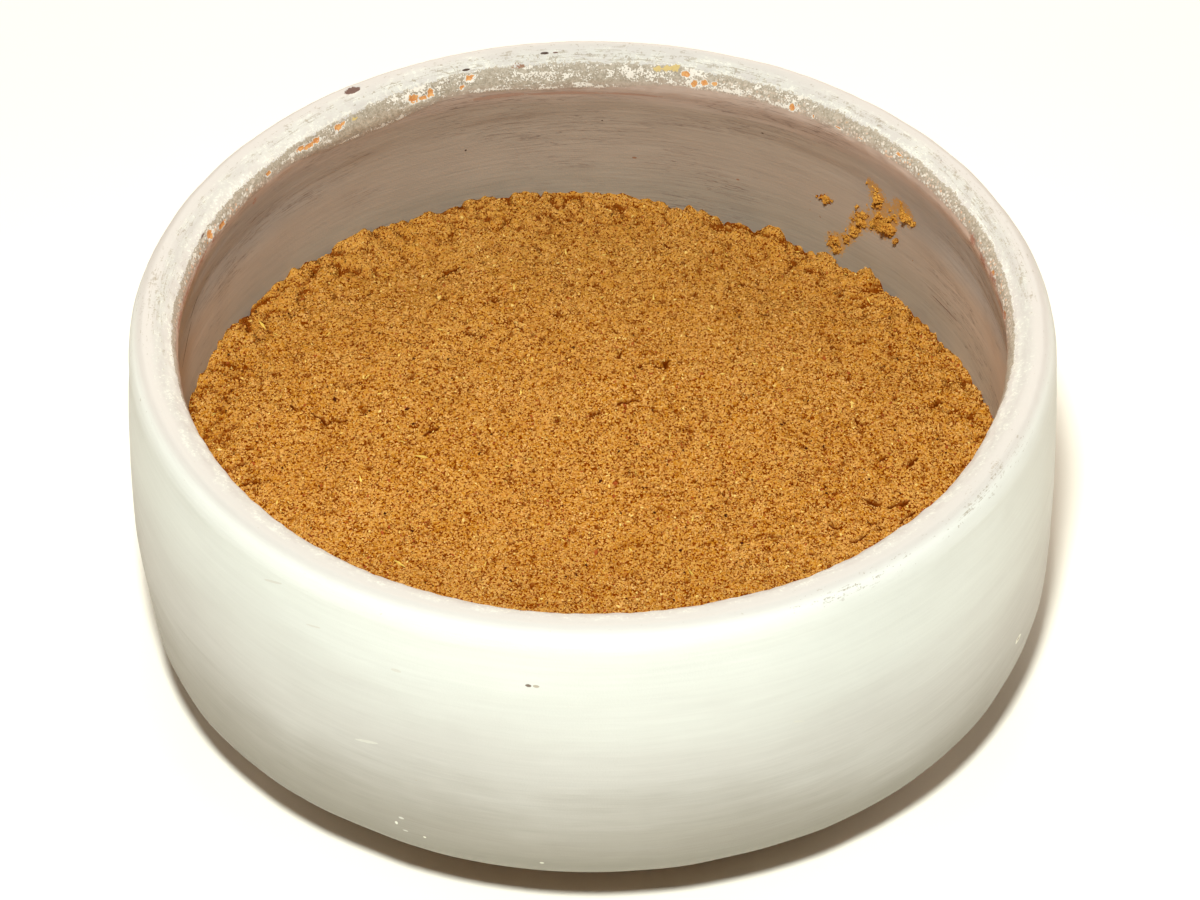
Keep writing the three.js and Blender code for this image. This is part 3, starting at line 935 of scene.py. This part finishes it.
# %% The broad shape, as in the exact model
HEAP_LEVEL = 20.9
HEAP_TILT = 1.4
HEAP_DOME = 0.8
RIPPLE = 0.2
RIPPLE_LENGTH = 19
CLODS = 110
CLOD_RADIUS = 2.9
CLOD_HEIGHT = 0.45
MOUNDS = [  # x, y, radius, height
    (-6, 42, 9, 0.9), (-34, 25, 11, 0.4), (28, 34, 15, -1.1), (21, 39, 3, 1.0),
    (32, 30.5, 2.8, 1.3), (25, 32, 3.2, 0.7), (34, 21, 3.2, 0.7), (-13, 23, 4.4, 0.8),
    (-30, 9, 4.8, 0.8), (3, 9, 4.4, 0.6), (7, 16, 4.8, 0.6), (6, -14, 5.2, 0.5),
    (-15, -26, 8, 0.5), (14, 2, 8, 0.4), (20, -30, 7, 0.4), (-23, 28, 5, -0.6),
    (-4, 30, 6, -0.5), (6, -19, 3.8, -0.8), (29, -11, 7, -0.9), (-24, -13, 7, -0.4),
]
clod = np.arange(CLODS)
clod_turn = clod * np.pi * (3 - np.sqrt(5))
clod_reach = CAVITY_RADIUS * np.sqrt((clod + 0.5) / CLODS)
clod_size = CLOD_RADIUS * (0.8 + 0.5 * ((clod * np.e) % 1))
clod_lift = CLOD_HEIGHT * ((clod * np.sqrt(2)) % 1 - 0.3)
clod_x, clod_y = clod_reach * np.cos(clod_turn), clod_reach * np.sin(clod_turn)
clods = np.column_stack([clod_x, clod_y, clod_size, clod_lift])
bumps = np.concatenate([np.array(MOUNDS), clods])


def bells(plan, places, power):
    """At each row (x, y), the sum over all places (x, y, radius, height) of a bell curve. Its
    power is 1 for a plain bell and 2 for one with a flat top and steep sides."""
    height = np.zeros(len(plan))
    for x, y, radius, lift in places:
        square = ((plan[:, 0] - x) ** 2 + (plan[:, 1] - y) ** 2) / radius**2
        height += lift * np.exp(-(square**power))
    return height


def heap_height(plan):
    """Height at each row (x, y): the level, less a tilt along x, plus a dome that falls with the
    square of the radius, two crossing sine waves, and a bell curve for each mound and clod."""
    x, y = plan[:, 0], plan[:, 1]
    share = np.hypot(x, y) / CAVITY_RADIUS
    wave = 2 * np.pi / RIPPLE_LENGTH
    height = HEAP_LEVEL - HEAP_TILT * x / CAVITY_RADIUS + HEAP_DOME * (1 - share**2)
    height += RIPPLE * (np.sin(wave * (x + 0.4 * y)) + np.sin(wave * (0.8 * y - 0.5 * x)))
    return height + bells(plan, bumps, 1)


left_side, right_side = heap_height(np.array([[-CAVITY_RADIUS, 0], [CAVITY_RADIUS, 0]]))
print(f"the heap meets the wall {left_side:.1f} mm up on the left, {right_side:.1f} mm on the right")

# %% Thin cracks
CRACKS = [  # x and y of one end, x and y of the other, depth
    (-14.2, 18.3, -12.0, 17.8, 0.6), (-17.9, 28.9, -15.6, 30.4, 0.45), (-11.2, 23.6, -9.7, 23.4, 0.4),
    (-32.9, 5.1, -32.4, 4.8, 0.6), (-30.6, 4.3, -28.8, 3.0, 0.4), (-28.8, 3.0, -27.1, 3.6, 0.45),
    (-37.9, -3.4, -35.7, -2.6, 0.5), (-37.6, -6.2, -35.2, -6.1, 0.5), (-18.3, 1.3, -17.2, 2.4, 0.5),
    (0.1, 4.4, 0.6, 4.7, 0.5), (-4.8, 21.8, -3.1, 22.0, 0.35), (5.4, 12.6, 6.7, 13.2, 0.6),
    (6.7, 13.2, 7.7, 12.7, 0.6), (7.7, 12.7, 8.4, 13.8, 0.5), (2.6, 13.9, 3.4, 15.7, 0.4),
    (3.0, 6.1, 5.0, 6.9, 0.6), (17.3, 29.6, 19.4, 29.0, 0.45), (8.3, 35.4, 8.8, 35.0, 0.45),
    (19.5, 24.3, 19.9, 24.1, 0.6), (23.0, 23.0, 23.5, 22.9, 0.6), (28.8, 5.7, 29.6, 4.7, 0.6),
    (34.1, -1.4, 35.1, -0.5, 0.6), (36.9, 7.7, 38.3, 9.0, 0.5), (31.1, -1.2, 31.8, -0.5, 0.45),
    (33.1, 20.2, 33.9, 19.9, 0.45), (-18.3, 22.9, -16.8, 24.4, 0.35), (-27.2, 24.2, -25.0, 25.7, 0.35),
    (28.7, -6.6, 30.6, -7.5, 0.5), (29.6, -10.0, 31.0, -11.2, 0.45), (31.9, -7.7, 33.7, -6.5, 0.5),
    (27.5, -13.2, 28.9, -12.1, 0.5), (32.8, -9.8, 34.4, -8.5, 0.45), (25.5, -10.9, 26.6, -11.3, 0.4),
]
CRACK_WIDTH = 0.22
CRACK_BEND = 0.4
CRACK_BEND_LENGTH = 1.3


def cracks(plan):
    """Two values at each row (x, y). The first is the cracks' depth: for each one a groove along a
    line that noise has bent, whose profile is a bell curve of the distance to the line, broken up
    here and there by another noise. The second is the distance across the nearest line, above
    zero on one side and below it on the other, so that it is zero just on the line."""
    depth = np.zeros(len(plan))
    side = np.ones(len(plan))
    nearest = np.full(len(plan), np.inf)
    x = plan[:, 0] + CRACK_BEND * noise(plan, CRACK_BEND_LENGTH, 31)
    y = plan[:, 1] + CRACK_BEND * noise(plan, CRACK_BEND_LENGTH, 32)
    whole = smooth_step(noise(plan, 1.2, 33), -1.1, -0.3)
    for start_x, start_y, end_x, end_y, deep in CRACKS:
        run_x, run_y = end_x - start_x, end_y - start_y
        along = ((x - start_x) * run_x + (y - start_y) * run_y) / (run_x**2 + run_y**2)
        along = np.clip(along, 0, 1)
        off = np.hypot(x - start_x - along * run_x, y - start_y - along * run_y)
        depth = np.maximum(depth, deep * whole * np.exp(-((off / CRACK_WIDTH) ** 2)))
        across = ((x - start_x) * run_y - (y - start_y) * run_x) / np.hypot(run_x, run_y)
        side = np.where(off < nearest, across, side)
        nearest = np.minimum(nearest, off)
    return depth, side


crack_ends = np.array(CRACKS)
crack_lengths = np.hypot(*(crack_ends[:, 2:4] - crack_ends[:, :2]).T)
print(f"{len(CRACKS)} cracks, {crack_lengths.min():.1f} to {crack_lengths.max():.1f} mm long")

# %% Steep clods and clefts where the heap meets the wall: x, y, radius, height
EDGE_CLODS = [
    (31.9, 30.9, 1.5, 0.5), (30.3, 32.7, 0.9, -0.4), (34.1, 28.7, 1.2, -0.3),
    (21.4, 38.9, 1.4, 0.25), (19.0, 40.2, 0.9, -0.45), (24.3, 37.3, 1.3, -0.35),
    (14.2, 42.2, 1.6, 0.3), (27.4, 34.9, 1.0, 0.4), (36.4, 25.4, 1.3, 0.35),
    (38.4, 22.6, 0.8, -0.4), (-18.6, 40.2, 1.4, 0.4), (-26.6, 35.6, 1.5, 0.45),
    (15.4, 41.6, 2.4, -0.6), (-17.2, 41.0, 1.6, -0.7), (-39.8, 20.5, 2.2, -0.35),
    (-31.5, 31.0, 2.4, -0.4), (37.4, 24.6, 1.4, -0.6), (26.6, 35.6, 1.8, 0.5),
    (-29.4, 33.5, 0.9, -0.3), (-33.6, 29.1, 1.2, 0.2), (-37.2, 24.4, 1.0, -0.4),
    (-40.2, 19.0, 1.4, 0.4),
]
print(len(EDGE_CLODS), "clods and clefts along the wall")

# %% All the relief together
WALL_ZONE = (35, 43)  # from where to where the heap changes towards the wall
EDGE_SINK = 0.12


def near_wall(plan):
    """0 over most of the heap and 1 along the wall."""
    return smooth_step(np.hypot(plan[:, 0], plan[:, 1]), *WALL_ZONE)


def relief(plan):
    """What lies finer than the clods. Crumbs are the absolute value of noise: round tops that
    meet in sharp creases. Pits are the peaks of a fine noise, turned down. The crumbs stand
    higher near the wall, where deep clefts part the clods."""
    edge = near_wall(plan)
    rough = np.clip(0.62 + 0.45 * noise(plan, 8, 20) + 0.6 * edge, 0.2, 1.7)
    crumbs = 0.6 * np.abs(noise(plan, 2.3, 21)) + 0.4 * np.abs(noise(plan, 1.2, 22)) - 0.24
    clefts = 0.7 * edge * np.exp(-((noise(plan, 3.4, 28) / 0.13) ** 2))
    pits = 0.4 * smooth_step(noise(plan, 0.85, 27), 0.3, 0.8)
    grit = 0.09 * noise(plan, 0.75, 25) + 0.07 * noise(plan, 0.5, 26)
    return rough * crumbs + bells(plan, EDGE_CLODS, 2) - clefts - cracks(plan)[0] - pits + grit


def edge_sink(plan):
    """How far the heap has settled along the wall."""
    return EDGE_SINK * near_wall(plan)


def spice_height(plan):
    """Height of the surface at each row (x, y), with all that is on it."""
    return heap_height(plan) + relief(plan) - edge_sink(plan)


print(f"the middle of the heap is {spice_height(np.zeros((1, 2)))[0]:.1f} mm up")

# %% [markdown]
# A round plate of evenly spaced points is made by bending a square net into a disc: each square
# ring of the net becomes a circle. Unlike a net of rays and rings, it has no crowded middle.
# Its edge reaches just into the clay, so that no gap shows, and below that the heap keeps clear
# of the cavity's wall and closes under itself.

# %% The crumbly core of the heap
NET_SIDE = 300
EDGE_RADIUS = CAVITY_RADIUS + CAVITY_BULGE + 0.2
GAP = 0.3  # between the core and the clay, out of sight
CLEAR = CAVITY_RADIUS - GAP
EDGE_DEPTH = 1.2  # how far down the core still reaches into the wall
CLEAR_DEPTH = 1.8  # how far down it is clear of the wall


def disc(side, radius):
    """Points of a square net bent into a disc. The distance from the centre is the larger of the
    two coordinates, and the angle is the share that the smaller one has of it."""
    line = np.linspace(-1, 1, side)
    a, b = np.meshgrid(line, line)
    wide = np.abs(a) > np.abs(b)
    reach = np.where(wide, a, b)
    angle = np.pi / 4 * np.where(wide, b, a) / reach
    angle = np.where(wide, angle, np.pi / 2 - angle)
    return radius * np.stack([reach * np.cos(angle), reach * np.sin(angle)], axis=-1)


plate = disc(NET_SIDE, EDGE_RADIUS)
plan = plate.reshape(-1, 2)
broad = heap_height(plan) - edge_sink(plan)
fine = relief(plan)
plate_index = np.arange(NET_SIDE**2).reshape(NET_SIDE, NET_SIDE)
rim_index = border(plate_index)
rim_plan = plan[rim_index] / EDGE_RADIUS
rim_height = (broad + fine)[rim_index]
corner_axes = (CORNER_WIDTH - GAP, GAP - CORNER_HEIGHT)
corner = quarter((CAVITY_RADIUS - CORNER_WIDTH, CORNER_TOP), corner_axes, 0, 3)
skirt = [(EDGE_RADIUS, rim_height - EDGE_DEPTH), (CLEAR, rim_height - CLEAR_DEPTH)]
for radius, height in [(CLEAR, CORNER_TOP), *corner]:
    skirt.append((radius, np.full(len(rim_index), height)))
skirt_points = np.concatenate([np.column_stack([rim_plan * radius, height]) for radius, height in skirt])
skirt_index = len(plan) + np.arange(len(skirt_points)).reshape(len(skirt), -1)
base_centre = len(plan) + len(skirt_points)
core_points = np.concatenate([
    np.column_stack([plan, broad + fine]), skirt_points, [[0, 0, FLOOR_HEIGHT + GAP]],
])
walls = np.concatenate([rim_index[None], skirt_index])
core_faces = np.concatenate([
    net(plate_index), net(walls[::-1], closed=True), fan(walls[-1, ::-1], base_centre),
])
print(f"core points lie {np.sqrt(np.pi) * EDGE_RADIUS / NET_SIDE:.2f} mm apart")

# %% [markdown]
# Dry powder has no gloss at all. Seen close, its colour is a mix of ochre, straw and brown
# grains, and it is deeper and redder down in the creases, where light bounces from grain to
# grain before it leaves. So the core's colour follows a noise at the grains' own size, and it is
# painted with shade: darker where a field tells that a point lies deep, and in pits that a noise
# sets between the grains. Cracks are thinner than the mesh is fine, so their shade is painted
# as dark lines where the signed distance across the nearest one passes through zero.

# %% The finish of the spice
OCHRE = srgb(210, 159, 80)
DEEP_OCHRE = srgb(186, 124, 36)
RED_OCHRE = srgb(166, 96, 36)
SHADE_OCHRE = srgb(118, 50, 0)
EVEN_OCHRE = srgb(202, 144, 62)
# painted shade in the cracks
CRACK_SHADE = srgb(92, 36, 2)


def how_far_back(finish):
    """0 over the front and the middle of the heap, and up to 1 at its back."""
    return finish.step(finish.axis("Y"), 4, 38)


def evened(finish, colour, share):
    """The spice is painted darker at the front, a painted shade where the lamp falls strongest. Its
    tones lie closer together at the back, where redder patches a millimetre or two across show
    instead."""
    colour = finish.shade(colour, 1 - finish.step(finish.axis("Y"), -8, -34) * 0.18)
    patch = finish.step(finish.noise(1.5, detail=2), 0.52, 0.7)
    colour = finish.blend(how_far_back(finish) * patch * 0.4, colour, RED_OCHRE)
    return finish.blend(how_far_back(finish) * share, colour, EVEN_OCHRE)


def core_finish():
    """Grains of several tones, with painted shade in the pits, hollows and cracks between them."""
    powder = Finish("ground_spice", Roughness=0.95, Specular_IOR_Level=0)
    bent = powder.shaken(0.4, 0.2)
    cell, tone = powder.cells(0.2, bent)
    speckle = powder.noise(0.33, detail=3)
    tint = powder.noise(4, detail=3)
    colour = powder.lay(DEEP_OCHRE, OCHRE, tone * 0.5 + tint * 0.5, 0.3, 0.65)
    colour = powder.lay(colour, RED_OCHRE, tone, 0.88, 0.92, 0.8)
    colour = evened(powder, colour, 0.4)
    depth = cell * 0.6 + speckle + (powder.noise(1.4, detail=2) - 0.5) * 0.3
    # Painted shade: pits that a noise sets between the grains, and the hollows of the relief.
    pit_shade = powder.step(depth - how_far_back(powder) * 0.02, 0.84, 0.96)
    colour = powder.blend(pit_shade, colour, SHADE_OCHRE)
    colour = powder.lay(colour, SHADE_OCHRE, powder.field("hollow"), 0.02, 0.4, 0.9)
    # Painted shade in cracks: short dark lines that a noise draws, dark lines along the cracks, and
    # darker grooves.
    wander = powder.noise(2.4, bent, detail=3)
    cracked = powder.step(abs(wander - 0.5), 0.012, 0.004) * powder.step(tint, 0.5, 0.56)
    groove = powder.field("groove")
    line = powder.step(abs(powder.field("groove_side")), 0.14, 0.08) * powder.step(groove, 0.08, 0.2)
    colour = powder.blend(powder.step(groove, 0.15, 0.5) * 0.35 + cracked * 0.7, colour, CRACK_SHADE)
    colour = powder.blend(line * 0.85, colour, CRACK_SHADE)
    return powder.apply(colour, height=cell * -0.12 - speckle * 0.2)


# %% The core itself
hidden = np.zeros(len(skirt_points) + 1)
# How deep each point lies below the relief; the finish paints shade there.
hollow = np.maximum(0.0, 0.02 - 0.3 * near_wall(plan) - fine)
groove, groove_side = cracks(plan)
core = make_piece(
    "spice_core", core_points, core_faces, core_finish(), "ground_spice",
    hollow=np.append(hollow, hidden), groove=np.append(groove, hidden),
    groove_side=np.append(groove_side, hidden),
)
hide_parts("ras_el_hanout")

# %% [markdown]
# ## Loose grains
# What makes a powder look ground is grains: each has its own size, turn and tone. Tens of
# thousands of copies of one object would be heavy, so each kind is one mesh, worked out as a
# stack of small lumps. A lump is an eight-sided stone with its corners pushed about, stretched
# along one axis for husks and slivers.

# %% Stones as whole arrays
STONE_CORNERS = np.array([
    [1, 0, 0], [-1, 0, 0], [0, 1, 0], [0, -1, 0], [0, 0, 1], [0, 0, -1]
], float)
STONE_FACES = np.array([
    [0, 2, 4], [2, 1, 4], [1, 3, 4], [3, 0, 4], [2, 0, 5], [1, 2, 5], [3, 1, 5], [0, 3, 5]
])


def turned_at_random(rng, count):
    """`count` random turns as 3 by 3 matrices, from random unit quaternions."""
    w, x, y, z = rng.normal(size=(count, 4)).T
    length = np.sqrt(w * w + x * x + y * y + z * z)
    w, x, y, z = w / length, x / length, y / length, z / length
    rows = [
        [1 - 2 * (y * y + z * z), 2 * (x * y - w * z), 2 * (x * z + w * y)],
        [2 * (x * y + w * z), 1 - 2 * (x * x + z * z), 2 * (y * z - w * x)],
        [2 * (x * z - w * y), 2 * (y * z + w * x), 1 - 2 * (x * x + y * y)],
    ]
    return np.moveaxis(np.array(rows), 2, 0)


def stones(rng, centres, sizes, shape, uneven=0.3):
    """One stone at each centre: the corners of an octahedron, each at its own random distance,
    stretched to `shape` (relative lengths along its three axes), scaled and turned."""
    count = len(centres)
    reach = 1 + uneven * rng.uniform(-1, 1, (count, len(STONE_CORNERS), 1))
    corners = STONE_CORNERS * reach * np.array(shape) * sizes[:, None, None] / 2
    corners = corners @ turned_at_random(rng, count).transpose(0, 2, 1)
    points = (corners + centres[:, None, :]).reshape(-1, 3)
    faces = (STONE_FACES + len(STONE_CORNERS) * np.arange(count)[:, None, None]).reshape(-1, 3)
    return points, faces


def scattered(rng, count, radius=CAVITY_RADIUS - 0.1):
    """Random places on the plan, even over its area: the radius is the root of a random share."""
    reach = radius * np.sqrt(rng.uniform(0, 1, count))
    angle = rng.uniform(0, 2 * np.pi, count)
    return np.column_stack([reach * np.cos(angle), reach * np.sin(angle)])


samples, _ = stones(np.random.default_rng(1), np.zeros((999, 3)), np.ones(999), (1, 1, 1))
print(f"a stone of size 1 reaches {np.linalg.norm(samples, axis=1).mean():.2f} from its middle")

# %% The kinds of grain: how many, size in millimetres, its spread, shape, and two tones
OPEN_CRACK = 0.28  # a crack deeper than this holds no grain
GRAINS = {
    "grains_ochre": (24000, 0.31, 0.28, (1, 0.9, 0.75), (219, 170, 96), (192, 132, 50)),
    "grains_gold": (24000, 0.22, 0.25, (1, 0.9, 0.8), (230, 186, 114), (196, 138, 60)),
    "grains_brown": (12000, 0.24, 0.3, (1, 0.8, 0.7), (156, 84, 6), (106, 44, 0)),
    "grains_red": (2200, 0.27, 0.3, (1.2, 0.8, 0.6), (172, 88, 40), (140, 66, 28)),
    "grains_straw": (1500, 0.27, 0.3, (1.3, 0.8, 0.6), (240, 212, 130), (228, 190, 100)),
    "specks_dark": (300, 0.34, 0.3, (1.2, 0.9, 0.6), (80, 34, 14), (54, 22, 8)),
    "slivers_pale": (230, 0.7, 0.35, (1.25, 0.26, 0.16), (238, 212, 116), (222, 190, 88)),
}


def grain_finish(name, light, dark):
    """Dull grains whose tone runs from one colour to another, each grain with its own share."""
    grain = Finish(name, Roughness=0.8, Specular_IOR_Level=0.03)
    mottle = grain.noise(0.15, detail=1)
    drift = grain.noise(5, detail=3)
    tone = grain.field("tone") * 0.7 + mottle * 0.25 + (drift - 0.5) * 1.2
    # evened paints shade over the front of the heap on the grains too.
    return grain.apply(evened(grain, grain.blend(tone, srgb(*dark), srgb(*light)), 0.22))


for number, (name, (count, size, spread, shape, light, dark)) in enumerate(GRAINS.items()):
    rng = np.random.default_rng(SEED + 10 + number)
    spots = scattered(rng, count)
    spots = spots[cracks(spots)[0] < OPEN_CRACK]
    count = len(spots)
    sizes = size * np.exp(spread * rng.normal(size=count))
    lift = sizes * rng.uniform(-0.15, 0.4, count) * shape[2]
    centres = np.column_stack([spots, spice_height(spots) + lift])
    points, faces = stones(rng, centres, sizes, shape)
    # Painted shade: grains that lie low in the relief take a darker tone.
    low = smooth_step(-relief(spots), 0.05, 0.5)
    tone = np.repeat(rng.uniform(0, 1, count) - 0.6 * low, len(STONE_CORNERS))
    finish = grain_finish(name, light, dark)
    make_piece(name, points, faces, finish, "ground_spice", smooth=False, tone=tone)

# %% [markdown]
# ## Spice clinging to the wall
# Where the bowl was filled, some spice stuck to the wall above the heap and dried there in
# crumbs. It is a sheet that follows the wall, thick where a crumb is and hidden in the clay
# everywhere else, with loose grains stuck on the crumbs.

# %% Crumbs on the wall
SATELLITES = 4  # smaller crumbs round each one
rng = np.random.default_rng(SEED + 39)
crumbs = np.array(CLINGING)
places = np.repeat(crumbs, SATELLITES, axis=0)
apart = rng.normal(size=(len(places), 2)) * places[:, 2:3]
places[:, 0] += np.degrees(apart[:, 0] / CAVITY_RADIUS)
places[:, 1] += apart[:, 1]
places[:, 2] *= rng.uniform(0.25, 0.5, len(places))
places[:, 3] *= rng.uniform(0.5, 0.9, len(places))
crumbs = np.concatenate([crumbs, places])


def crumb_thickness(azimuth, height):
    """How far the stuck spice stands off the wall: the highest of the crumbs' domes, each a
    bell curve, broken up by noise, less what it takes to stay hidden between them."""
    spot = np.column_stack([np.radians(azimuth) * CAVITY_RADIUS, height])
    thick = np.zeros(len(spot))
    for crumb_azimuth, crumb_height, half, rise in crumbs:
        x = spot[:, 0] - np.radians(crumb_azimuth) * CAVITY_RADIUS
        y = spot[:, 1] - crumb_height
        thick = np.maximum(thick, rise * np.exp(-(x * x + y * y) / half**2))
    return thick * (1 + 0.8 * noise(spot, 0.8, 41)) + 0.2 * noise(spot, 0.4, 42) - 0.24


def on_wall(azimuth, height, off):
    """Points that stand `off` the inner wall, towards the axis."""
    radius = CAVITY_RADIUS + 0.05 - off
    return np.column_stack([
        radius * np.cos(np.radians(azimuth)), radius * np.sin(np.radians(azimuth)), height
    ])


print(len(crumbs), "crumbs on the wall")

# %% The sheet of crumbs
CLING_ROWS = 170
CLING_COLUMNS = 190
CLING_TURN = (34, 56)
CLING_HEIGHT = (19.5, 34.5)
SHEET_HIDDEN = -0.35  # how far behind the wall the sheet stays between crumbs
SHEET_BACK = -0.8  # and its back
azimuth_grid, height_grid = np.meshgrid(
    np.linspace(*CLING_TURN, CLING_COLUMNS), np.linspace(*CLING_HEIGHT, CLING_ROWS)
)
azimuths, heights = azimuth_grid.ravel(), height_grid.ravel()
stands = np.maximum(crumb_thickness(azimuths, heights), SHEET_HIDDEN)
front = on_wall(azimuths, heights, stands)
back = on_wall(azimuths, heights, np.full(len(stands), SHEET_BACK))
front_index = np.arange(len(front)).reshape(CLING_ROWS, CLING_COLUMNS)
back_index = front_index + len(front)
edges = net(np.stack([border(front_index), border(back_index)]), closed=True)
sheet_faces = np.concatenate([net(front_index)[:, ::-1], net(back_index), edges])
# Painted shade: the sheet is darker where it stands close to the wall, round the crumbs' edges.
sheet_hollow = np.append(np.maximum(0.0, 0.12 - stands), np.zeros(len(back)))
sheet_points = np.concatenate([front, back])
make_piece(
    "spice_on_wall", sheet_points, sheet_faces, core_finish(), "ground_spice", hollow=sheet_hollow,
)

# %% Grains on the crumbs
CLING_TRIES = 9000  # most of them fall between the crumbs and are dropped
rng = np.random.default_rng(SEED + 40)
cling_azimuth = rng.uniform(*CLING_TURN, CLING_TRIES)
cling_height = rng.uniform(*CLING_HEIGHT, CLING_TRIES)
cling_off = crumb_thickness(cling_azimuth, cling_height)
kept = cling_off > 0.02
centres = on_wall(cling_azimuth[kept], cling_height[kept], cling_off[kept] + 0.03)
sizes = 0.3 * np.exp(0.3 * rng.normal(size=len(centres)))
points, faces = stones(rng, centres, sizes, (1, 0.9, 0.7))
tone = np.repeat(rng.uniform(0, 1, len(centres)), len(STONE_CORNERS))
cling_finish = grain_finish("grains_on_wall", (216, 166, 76), (156, 100, 30))
make_piece("grains_on_wall", points, faces, cling_finish, "ground_spice", smooth=False, tone=tone)
